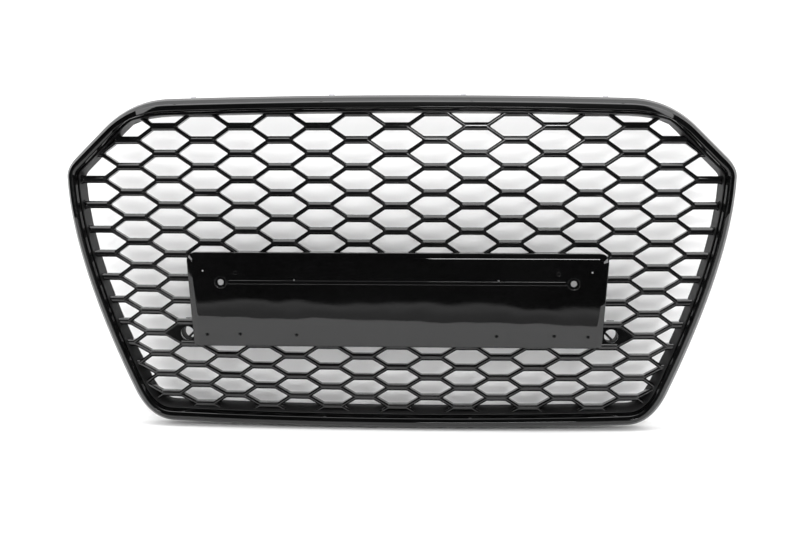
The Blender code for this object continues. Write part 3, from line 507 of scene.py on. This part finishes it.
def lattice_mesh(cells):
    """Bars with a flat front, an upper and a lower chamfer, straight walls and rounded cell corners."""
    bm = bmesh.new()
    crest, back, shared = {}, {}, {}

    def junction(store, key, depth):
        if key not in store:
            x, z = lattice_point(*key)
            store[key] = bm.verts.new((x, surface(x, z) + depth, z))
        return store[key]

    for cell in cells:
        keys = cell_corners(*cell)
        for index, key in enumerate(keys):
            side = frozenset((key, keys[(index + 1) % 6]))
            shared[side] = shared.get(side, 0) + 1
    slant = SLANTED_BAR / 2
    for cell in cells:
        keys = cell_corners(*cell)
        corners = [lattice_point(*key) for key in keys]
        bar = LEVEL_BAR - LEVEL_BAR_SLIMMING * cell[1] / 2
        half = bar / 2
        # under side of the bar above, upper side of the bar below, slanted bars, depth, corner round
        under_start, upper_start = UNDER_CHAMFER * bar, UPPER_CHAMFER * bar
        steps = [(under_start, upper_start, 0.0006, MESH_FRONT, 0.0004),
                 (under_start + 0.0003, upper_start + 0.0004, 0.0008, MESH_FRONT + 0.00013, 0.0005),
                 (half - 0.0004, half - 0.0005, slant - 0.0004, MESH_FRONT + RIDGE_DEPTH - 0.0006, 0.0011),
                 (half, half, slant, MESH_FRONT + RIDGE_DEPTH + 0.0002, 0.0013),
                 (half, half, slant, MESH_REAR - 0.0004, 0.0013),
                 (half - 0.0004, half - 0.0004, slant - 0.0004, MESH_REAR, 0.0013)]
        loops = []
        for under, upper, side, depth, tangent in steps:
            points = rounded(shift_inward(corners, [side, under, side, side, upper, side]), tangent)
            loops.append([bm.verts.new((x, surface(x, z) + depth, z)) for x, z in points])
        bridge(bm, loops)
        first, last = loops[0], loops[-1]
        for index, key in enumerate(keys):
            following = keys[(index + 1) % 6]
            top_a, top_b = junction(crest, key, MESH_FRONT), junction(crest, following, MESH_FRONT)
            low_a, low_b = junction(back, key, MESH_REAR), junction(back, following, MESH_REAR)
            for near, far, loop in ((top_a, top_b, first), (low_a, low_b, last)):
                corner = loop[4 * index:4 * index + 4]
                bm.faces.new((near, far, loop[(4 * index + 4) % 24], corner[3]))
                for a, b in zip(corner, corner[1:]):
                    bm.faces.new((near, a, b))
            if shared[frozenset((key, following))] == 1:
                bm.faces.new((top_b, top_a, low_a, low_b))
    return bm


# ================================================================ sensors
def sensor_cell():
    """Column and row of the filled cell just outside the plate panel."""
    wanted = PANEL_TOP - SENSOR_DROP
    row = min(range(40), key=lambda number: abs(row_height(number) - wanted))
    reach = PANEL_WIDTH / 2 - PANEL_TAPER / 2 * SENSOR_DROP / PANEL_HEIGHT
    reach += SENSOR_FROM_PANEL + SENSOR_HOLE_RADIUS - SENSOR_OUTBOARD
    return 2 * math.ceil(reach / column_pitch(row) / 2), row


def sensor_place(side):
    column, row = sensor_cell()
    point = lattice_point(4 * column, 2 * row)
    return Vector((side * (point.x + SENSOR_OUTBOARD), point.y))


def bracket_screw_places(side):
    row = sensor_cell()[1]
    return [Vector((sensor_place(side).x, row_height(row + step))) for step in (-0.5, 0.5)]


def bracket_front(side):
    x, z = sensor_place(side)
    deepest = max(surface(x * 1.05, z - BRACKET_REACH), surface(x, z + BRACKET_REACH))
    return deepest + MESH_REAR + GAP + BRACKET_CLEARANCE


def sensor_pads():
    """Filled cells with a hole and a low collar round it."""
    column, row = sensor_cell()
    centre = sensor_place(1)
    front = surface(*centre) + SENSOR_PAD_FRONT
    plates, holes = bmesh.new(), bmesh.new()
    for side in (-1, 1):
        corners = [lattice_point(*key) for key in cell_corners(side * column, 2 * row)]
        corners = rounded(shift_inward(corners, [0.0014] * 6), 0.001)
        append(plates, prism(corners, front, front + SENSOR_PAD_THICKNESS))
        x, z = sensor_place(side)
        add_cylinder(holes, x, z, front - 0.01, front + 0.01, SENSOR_HOLE_RADIUS, 48)
    pads = cut(plates, ("DIFFERENCE", holes))
    r = SENSOR_HOLE_RADIUS
    collar = [(r, front + 0.003), (r, front - 0.0006), (r + 0.0002, front - 0.0009),
              (r + 0.0009, front - 0.0009), (r + 0.0013, front - 0.0005), (r + 0.0016, front + 0.003)]
    for side in (-1, 1):
        x, z = sensor_place(side)
        add_ring(pads, x, z, collar)
    return pads


# ================================================================ pieces
def frame_screw_places(path):
    """Points spaced evenly along the edge and moved inwards."""
    loop = [point for point, normal in path]
    lengths = [(loop[(i + 1) % len(loop)] - loop[i]).length for i in range(len(loop))]
    total = sum(lengths)
    places = []
    for number in range(FRAME_SCREWS):
        wanted = total * (number + 0.5) / FRAME_SCREWS
        index = 0
        while wanted > lengths[index]:
            wanted -= lengths[index]
            index += 1
        share = wanted / lengths[index]
        following = (index + 1) % len(path)
        point = loop[index].lerp(loop[following], share)
        normal = path[index][1].lerp(path[following][1], share).normalized()
        places.append(point - normal * SCREW_INSET)
    return places


def make_trim(path, places):
    """The bezel, with the bosses that the frame screws enter."""
    boss_root = 0.0024

    def section(point, normal):
        crest = blend_by_facing(normal, CREST_TOP, CREST_SIDE, CREST_BOTTOM)
        width = bezel_width(normal)
        shape = [(0.0008, BEZEL_RETURN), (0, 0.010), (0.2 * crest, 0.0025), (0.55 * crest, -0.0030),
                 (crest, CREST_DEPTH), (crest + 0.6 * (width - crest), -0.0025), (width, 0.0045),
                 (width + 0.0002, 0.0095)]
        return soften(shape, 0.0011) + list(reversed(set_back(shape, BEZEL_WALL)))

    bm = sweep(path, section)
    for x, z in places:
        depth = surface(x, z)
        add_cylinder(bm, x, z, depth - boss_root,
                     depth + RIM_REAR - FOOT_PLATE - GAP - lean(x, z, BOSS_RADIUS), BOSS_RADIUS)
    add_piece("surround_ring", bm, GLOSS, ["surround_trim"])


def make_net(path, window_path):
    """The bars, the window behind the plate panel, its screw ears and the sensor pads."""
    edge = [point - normal * (rim_outer(normal) + 0.4 * RIM_LEDGE) for point, normal in path]
    window = [point - normal * (WINDOW_EDGE + WINDOW_WALL / 2) for point, normal in window_path]
    bm = cut(lattice_mesh(lattice_cells(edge, window)),
             ("INTERSECT", prism(edge, -0.1, 0.2)), ("DIFFERENCE", prism(window, -0.1, 0.2)))

    def window_frame(point, normal):
        inner = WINDOW_EDGE + WINDOW_WALL
        front, rear, soft = MESH_FRONT + GAP, MESH_REAR, 0.0004
        return [(WINDOW_EDGE, front + soft), (WINDOW_EDGE + soft, front), (inner - soft, front),
                (inner, front + soft), (inner, rear - soft), (inner - soft, rear),
                (WINDOW_EDGE + soft, rear), (WINDOW_EDGE, rear - soft)]

    append(bm, sweep(window_path, window_frame))
    middle = PANEL_TOP - PANEL_HEIGHT / 2
    for x, z in panel_screw_places():
        rear = surface(x, z) + MESH_REAR - EAR_RECESS
        outer = z + math.copysign(PANEL_SCREW_INSET - WINDOW_EDGE - WINDOW_WALL / 2, z - middle)
        inner = z - math.copysign(BOSS_RADIUS + EAR_MARGIN, z - middle)
        add_block(bm, (x - EAR_WIDTH / 2, rear - EAR_THICKNESS, min(outer, inner)),
                  (x + EAR_WIDTH / 2, rear, max(outer, inner)))
    append(bm, sensor_pads())
    add_piece("honeycomb_net", bm, SATIN, ["honeycomb_mesh"])


def make_perimeter(path):
    """The wall that carries the net, with the foot that the carrier clamps."""
    def section(point, normal):
        outer, back, soft = rim_outer(normal), rim_back(point, normal), 0.0003
        return [(outer, RIM_FRONT + soft), (outer + soft, RIM_FRONT), (outer + RIM_LEDGE - soft, RIM_FRONT),
                (outer + RIM_LEDGE, RIM_FRONT + 2 * soft), (back, RIM_REAR - soft), (back - soft, RIM_REAR),
                (FOOT_EDGE + soft, RIM_REAR), (FOOT_EDGE, RIM_REAR - soft),
                (FOOT_EDGE, RIM_REAR - FOOT_PLATE + soft), (FOOT_EDGE + soft, RIM_REAR - FOOT_PLATE),
                (outer + RIM_CLEARANCE - soft, RIM_REAR - FOOT_PLATE),
                (outer + RIM_CLEARANCE, RIM_REAR - FOOT_PLATE - soft)]

    add_piece("perimeter_wall", sweep(path, section), WALL, ["honeycomb_mesh"])


# ---------------------------------------------------------------- plate panel
def panel_front(z):
    return PANEL_FRONT + (PANEL_TOP - z) * math.tan(PANEL_RAKE)


def panel_face(z):
    """The visible face: the CAD's flat face with a slight bow."""
    middle = PANEL_TOP - PANEL_HEIGHT / 2
    return panel_front(z) + ((z - middle) ** 2 - (PANEL_HEIGHT / 2) ** 2) / (2 * PANEL_BOW_RADIUS)


def panel_screw_places():
    reach = PANEL_WIDTH / 2 - PANEL_SCREW_SIDE
    heights = (PANEL_TOP - PANEL_SCREW_INSET, PANEL_TOP - PANEL_HEIGHT + PANEL_SCREW_INSET)
    return [Vector((x, z)) for z in heights for x in (-reach, 0, reach)]


def panel_boss_end(x, z):
    return surface(x, z) + MESH_REAR - EAR_RECESS - EAR_THICKNESS - 2 * GAP


def panel_body():
    """A thin shell with rounded chamfers and a bowed face divided finely enough to curve."""
    # rear marks the two ends of the section, which are placed against the mesh's front
    wall, rear, run = PANEL_WALL, 0.014, 0.0026
    rows, columns = 20, 40
    chamfer, drop, edge = PANEL_CHAMFER, PANEL_CHAMFER_FALL, PANEL_BOTTOM_EDGE
    side_back = [(wall, rear), (wall, drop + 0.546 * wall), (chamfer + 0.286 * wall, wall),
                 (chamfer + run, wall)]
    low_back = [(wall, rear), (wall, wall + 0.0003), (wall + 0.0003, wall), (edge + run, wall)]
    side_front = soften([(0, rear), (0, drop), (chamfer, 0), (chamfer + run, 0)], 0.0012)
    low_front = soften([(0, rear), (0, edge), (edge, 0), (edge + run, 0)], 0.0006)
    pairs = list(zip(side_back, low_back))[::-1] + list(zip(side_front, low_front))
    bm = bmesh.new()
    rings = []
    for (side, side_depth), (low, low_depth) in pairs:
        ring = []
        loop = panel_loop(side, low, max(PANEL_CORNER - 0.93 * side, 0.001),
                          max(PANEL_FOOT_CORNER - 0.93 * min(side, low), 0.0006))
        for (x, z), normal in loop:
            depth = side_depth + (low_depth - side_depth) * max(-normal.y, 0) ** 4
            y = surface(x, z) + MESH_FRONT - PANEL_LAP if side_depth == rear else panel_face(z) + depth
            ring.append(bm.verts.new((x, y, z)))
        rings.append(ring)
    bridge(bm, rings)
    bm.faces.new(rings[0])
    faces = {bm.faces.new(rings[-1])}
    cuts = [(Vector((0, 0, PANEL_TOP - PANEL_HEIGHT * step / rows)), Vector((0, 0, 1)))
            for step in range(1, rows)]
    cuts += [(Vector((PANEL_WIDTH * (step / columns - 0.5), 0, 0)), Vector((1, 0, 0)))
             for step in range(1, columns)]
    for spot, across in cuts:
        geom = list(faces) + list({e for f in faces for e in f.edges} | {v for f in faces for v in f.verts})
        result = bmesh.ops.bisect_plane(bm, geom=geom, plane_co=spot, plane_no=across, dist=1e-7)
        faces = {item for item in result["geom"] if isinstance(item, bmesh.types.BMFace)}
    for vert in {v for f in faces for v in f.verts}:
        vert.co.y = panel_face(vert.co.z)
    return bm


def bead():
    """The raised strip between the two large holes, with round ends and chamfered edges."""
    reach = PANEL_WIDTH / 2 - PLATE_HOLE_SIDE - BEAD_END - BEAD_HEIGHT / 2 - BEAD_CLEARANCE
    middle = PANEL_TOP - PLATE_HOLE_DROP
    bm = bmesh.new()
    rings = []
    section = ((0.0002, -0.001), (0.0002, 0), (-0.0001, 0.00055), (-0.0003, 0.0007), (-0.0006, 0.00075))
    for grow, proud in section:
        radius = BEAD_HEIGHT / 2 + grow
        ring = []
        for side in (-1, 1):
            for step in range(13):
                angle = math.pi * step / 12 - math.pi / 2
                x = side * (reach + radius * math.cos(angle))
                z = middle + side * radius * math.sin(angle)
                ring.append(bm.verts.new((x, panel_face(z) - proud, z)))
        rings.append(ring)
    bridge(bm, rings)
    bm.faces.new(rings[0])
    bm.faces.new(rings[-1])
    return bm


def make_panel():
    """The plate panel with its bosses, holes, dimples, raised rings and raised strip."""
    raised, holes = bmesh.new(), bmesh.new()
    for x, z in panel_screw_places():
        end = panel_boss_end(x, z)
        add_cylinder(raised, x, z, panel_face(z) + 0.0015, end, BOSS_RADIUS)
        add_cylinder(holes, x, z, end - PANEL_SCREW_LENGTH + 0.0005, end + 0.001, SCREW_RADIUS + GAP)
    through, lead = 0.012, 0.004
    spots = [(PLATE_HOLE_SIDE, PLATE_HOLE_DROP, PLATE_HOLE_RADIUS, through, PLATE_HOLE_RING)]
    spots += [(inward, drop, PILOT_RADIUS, through, None) for inward, drop in PILOT_HOLES]
    spots += [(inward, drop, DIMPLE_RADIUS, DIMPLE_DEPTH, DIMPLE_RING) for inward, drop in DIMPLES]
    for side in (-1, 1):
        for inward, drop, radius, depth, ring in spots:
            x, z = side * (PANEL_WIDTH / 2 - inward), PANEL_TOP - drop
            front = panel_face(z)
            if ring:
                add_ring(raised, x, z, half_round(front, *ring))
            add_cylinder(holes, x, z, front - lead, front + depth, radius)
    body = cut(panel_body(), ("UNION", bead()), ("UNION", raised), ("DIFFERENCE", holes))
    add_piece("number_plate_panel", body, GLOSS, ["plate_panel"])


# ---------------------------------------------------------------- screws
def make_screw(name, x, z, seat, length, radius, head_radius, head):
    """A pan-head screw with a six-lobed drive, driven forwards from its seat."""
    profile = [(0.45 * head_radius, head - 0.55 * head, True), (0.45 * head_radius, head - 0.08 * head, True),
               (0.52 * head_radius, head, False), (0.72 * head_radius, 0.96 * head, False),
               (0.90 * head_radius, 0.78 * head, False), (head_radius, 0.45 * head, False),
               (head_radius, 0.08 * head, False), (0.96 * head_radius, 0, False), (radius, 0, False)]
    turns = max(int((length - 0.002) / THREAD_PITCH), 1)
    for turn in range(turns):
        profile += [(radius, -0.0006 - THREAD_PITCH * turn, False),
                    (0.80 * radius, -0.0010 - THREAD_PITCH * turn, False)]
    profile += [(0.78 * radius, -length + 0.0006, False), (0.4 * radius, -length, False)]
    bm = bmesh.new()
    rings = []
    for r, y, lobed in profile:
        ring = []
        for step in range(36):
            angle = 2 * math.pi * step / 36
            reach = r * (1 + LOBE_DEPTH * math.cos(DRIVE_LOBES * angle)) if lobed else r
            ring.append(bm.verts.new((x + reach * math.cos(angle), seat + y, z + reach * math.sin(angle))))
        rings.append(ring)
    bridge(bm, rings)
    bm.faces.new(rings[0])
    bm.faces.new(rings[-1])
    add_piece(name + "_detailed", bm, STEEL, [name])


def make_screws(places):
    for number, (x, z) in enumerate(places, 1):
        seat = surface(x, z) + RIM_REAR + RING_GAP + CARRIER_PLATE + PAD_HEIGHT + GAP
        length = SCREW_LENGTH - 0.001 + PAD_HEIGHT + CARRIER_PLATE + FOOT_PLATE + 3 * GAP
        make_screw(f"frame_screw_{number:02d}", x, z, seat, length, SCREW_RADIUS, SCREW_HEAD_RADIUS,
                   SCREW_HEAD)
    for number, (x, z) in enumerate(panel_screw_places(), 1):
        seat = surface(x, z) + MESH_REAR - EAR_RECESS + GAP
        make_screw(f"panel_screw_{number}", x, z, seat, PANEL_SCREW_LENGTH, SCREW_RADIUS, SCREW_HEAD_RADIUS,
                   SCREW_HEAD)
    number = 0
    for side in (-1, 1):
        for x, z in bracket_screw_places(side):
            number += 1
            seat = bracket_front(side) + BRACKET_PLATE + GAP
            make_screw(f"sensor_screw_{number}", x, z, seat, SENSOR_SCREW_LENGTH, SENSOR_SCREW_RADIUS,
                       SENSOR_SCREW_HEAD_RADIUS, SENSOR_SCREW_HEAD)


# ================================================================ stage, light and camera
def add_stage(name, corners, see_through_back=False):
    """A pale sheet of the studio. A sheet that stands behind the grille doesn't hide it from the rear."""
    bm = bmesh.new()
    bm.faces.new([bm.verts.new(corner) for corner in corners])
    mesh = bpy.data.meshes.new(name)
    bm.to_mesh(mesh)
    bm.free()
    sheet = bpy.data.objects.new(name, mesh)
    bpy.context.scene.collection.objects.link(sheet)
    material = bpy.data.materials.new("pale_" + name)
    material.use_nodes = True
    nodes, links = material.node_tree.nodes, material.node_tree.links
    shader = nodes["Principled BSDF"]
    shader.inputs["Base Color"].default_value = (0.92, 0.92, 0.92, 1)
    shader.inputs["Roughness"].default_value = 0.9
    shader.inputs["Specular IOR Level"].default_value = 0
    if see_through_back:
        clear, mix = nodes.new("ShaderNodeBsdfTransparent"), nodes.new("ShaderNodeMixShader")
        side = nodes.new("ShaderNodeNewGeometry")
        links.new(side.outputs["Backfacing"], mix.inputs["Fac"])
        links.new(shader.outputs["BSDF"], mix.inputs[1])
        links.new(clear.outputs["BSDF"], mix.inputs[2])
        links.new(mix.outputs["Shader"], nodes["Material Output"].inputs["Surface"])
    mesh.materials.append(material)


def make_stage():
    """The floor, whose slanting front edge shows in the plate panel, and a sheet behind the grille."""
    add_stage("floor", [(-FLOOR_SIDE, FLOOR_FRONT_LEFT, FLOOR_HEIGHT),
                        (FLOOR_SIDE, FLOOR_FRONT_RIGHT, FLOOR_HEIGHT),
                        (FLOOR_SIDE, FLOOR_BACK, FLOOR_HEIGHT), (-FLOOR_SIDE, FLOOR_BACK, FLOOR_HEIGHT)])
    add_stage("backdrop", [(-BACKDROP_SIDE, BACKDROP, FLOOR_HEIGHT), (BACKDROP_SIDE, BACKDROP, FLOOR_HEIGHT),
                           (BACKDROP_SIDE, BACKDROP, BACKDROP_TOP),
                           (-BACKDROP_SIDE, BACKDROP, BACKDROP_TOP)], see_through_back=True)


def make_world():
    """White for the camera, a dark room with a bright top and back for reflections, soft fill for the rest.

    Stops are (a direction's height or depth, brightness).
    """
    reflected = [(-0.32, 0.35), (-0.28, 0.55), (-0.265, 0.9), (-0.262, 0.03), (0.55, 0.02), (0.80, 0.05),
                 (0.92, 0.9), (1.0, 1.5)]
    reflected_back = [(0.75, 0.0), (0.95, 1.0)]
    fill_stops = [(-1.0, 0.5), (0.0, 1.7), (0.5, 1.6), (1.0, 0.4)]
    slant = 0.04
    world = bpy.data.worlds.new("studio")
    bpy.context.scene.world = world
    world.use_nodes = True
    nodes, links = world.node_tree.nodes, world.node_tree.links
    nodes.clear()
    output = nodes.new("ShaderNodeOutputWorld")
    seen, lit, mix = (nodes.new(kind) for kind in
                      ("ShaderNodeBackground", "ShaderNodeBackground", "ShaderNodeMixShader"))
    rays = nodes.new("ShaderNodeLightPath")
    where = nodes.new("ShaderNodeTexCoord")
    parts = nodes.new("ShaderNodeSeparateXYZ")
    links.new(where.outputs["Generated"], parts.inputs["Vector"])

    def ramp(stops, value):
        node = nodes.new("ShaderNodeValToRGB")
        elements = node.color_ramp.elements
        while len(elements) < len(stops):
            elements.new(0.5)
        for element, (position, level) in zip(elements, stops):
            element.position = (position + 1) / 2
            element.color = (level, level, level, 1)
        shift = nodes.new("ShaderNodeMapRange")
        shift.inputs["From Min"].default_value = -1
        links.new(value, shift.inputs["Value"])
        links.new(shift.outputs["Result"], node.inputs["Fac"])
        return node.outputs["Color"]

    tilt = nodes.new("ShaderNodeMath")
    tilt.operation = "MULTIPLY_ADD"
    tilt.inputs[1].default_value = slant
    links.new(parts.outputs["X"], tilt.inputs[0])
    links.new(parts.outputs["Z"], tilt.inputs[2])
    height = ramp(reflected, tilt.outputs["Value"])
    back = ramp(reflected_back, parts.outputs["Y"])
    lighten = nodes.new("ShaderNodeMix")
    lighten.data_type = "RGBA"
    lighten.blend_type = "LIGHTEN"
    lighten.inputs["Factor"].default_value = 1
    links.new(height, lighten.inputs["A"])
    links.new(back, lighten.inputs["B"])
    fill = ramp(fill_stops, parts.outputs["Z"])
    choose = nodes.new("ShaderNodeMix")
    choose.data_type = "RGBA"
    links.new(rays.outputs["Is Diffuse Ray"], choose.inputs["Factor"])
    links.new(lighten.outputs["Result"], choose.inputs["A"])
    links.new(fill, choose.inputs["B"])
    links.new(choose.outputs["Result"], lit.inputs["Color"])
    links.new(rays.outputs["Is Camera Ray"], mix.inputs["Fac"])
    links.new(lit.outputs["Background"], mix.inputs[1])
    links.new(seen.outputs["Background"], mix.inputs[2])
    seen.inputs["Color"].default_value = (1, 1, 1, 1)
    links.new(mix.outputs["Shader"], output.inputs["Surface"])


def add_light(name, location, width, height, power):
    """A rectangular area lamp that faces the grille; power is in watts."""
    light = bpy.data.lights.new(name, "AREA")
    light.shape = "RECTANGLE"
    light.size, light.size_y, light.energy = width, height, power
    obj = bpy.data.objects.new(name, light)
    obj.location = location
    obj.rotation_euler = (-Vector(location)).to_track_quat("-Z", "Y").to_euler()
    bpy.context.scene.collection.objects.link(obj)


def make_lights():
    add_light("overhead_softbox", (0, -0.3, 1.7), 3.0, 1.1, 36)
    add_light("front_lamp", (0.35, -2.6, 0.95), 0.8, 0.3, 22)
    for side in (-1, 1):
        add_light(f"side_strip_{side}", (side * 1.9, -1.7, 0.25), 0.3, 1.1, 6)


def make_camera():
    flat = math.cos(CAMERA_ELEVATION)
    direction = Vector((math.sin(CAMERA_AZIMUTH) * flat, -math.cos(CAMERA_AZIMUTH) * flat,
                        math.sin(CAMERA_ELEVATION)))
    lens = bpy.data.cameras.new("camera")
    lens.lens, lens.sensor_width = FOCAL_LENGTH, FILM_WIDTH
    camera = bpy.data.objects.new("camera", lens)
    camera.location = CAMERA_AIM + direction * CAMERA_DISTANCE
    camera.rotation_euler = (-direction).to_track_quat("-Z", "Y").to_euler()
    bpy.context.scene.collection.objects.link(camera)
    bpy.context.scene.camera = camera
    bpy.context.scene.view_settings.view_transform = "Standard"


# ================================================================ build
outline = grille_outline(3)
screw_places = frame_screw_places(grille_outline(1))
make_trim(outline, screw_places)
make_perimeter(outline)
make_net(outline, panel_loop(0, 0, PANEL_CORNER, WINDOW_CORNER))
make_panel()
make_screws(screw_places)
for node_name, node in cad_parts.items():
    if node_name.startswith(("carrier", "sensor_bracket")):
        node.data.materials[0] = TEXTURED
    elif node_name.startswith("top_clip"):
        node.data.materials[0] = STEEL
make_stage()
make_world()
make_lights()
make_camera()
